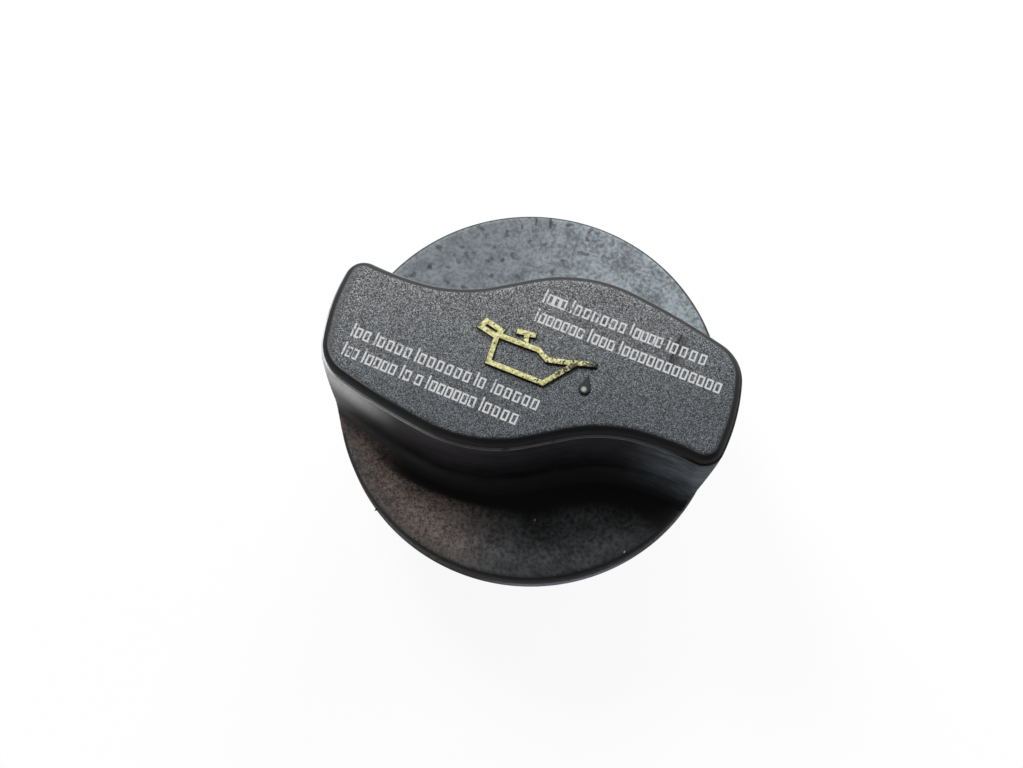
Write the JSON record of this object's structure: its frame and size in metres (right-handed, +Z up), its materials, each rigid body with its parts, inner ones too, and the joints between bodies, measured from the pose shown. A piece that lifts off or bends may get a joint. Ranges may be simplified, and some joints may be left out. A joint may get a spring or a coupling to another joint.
{
  "type": "oil filler cap",
  "caption": "Round moulded oil filler cap with an S-shaped finger grip, a hollow bayonet neck and a rubber seal ring, with a raised oil can symbol on top.",
  "frame": {"origin": "on the neck's axis, at the seal's lower face, which presses on the engine's filler neck", "axes": "+Z up along the neck's axis, out of the engine; +X along the finger grip; +Y across it"},
  "size_m": [0.0644, 0.062, 0.0373],
  "materials": {
    "black_plastic": "fine-grained black moulded plastic",
    "seal_rubber": "plain black rubber",
    "yellow_paint": "worn pale yellow paint",
    "pale_print": "worn pale grey print"
  },
  "bodies": {
    "root": {"cap_body": "black_plastic", "seal_ring": "seal_rubber", "symbol_paint": "yellow_paint", "print_bars": "pale_print"}
  },
  "joints": []
}
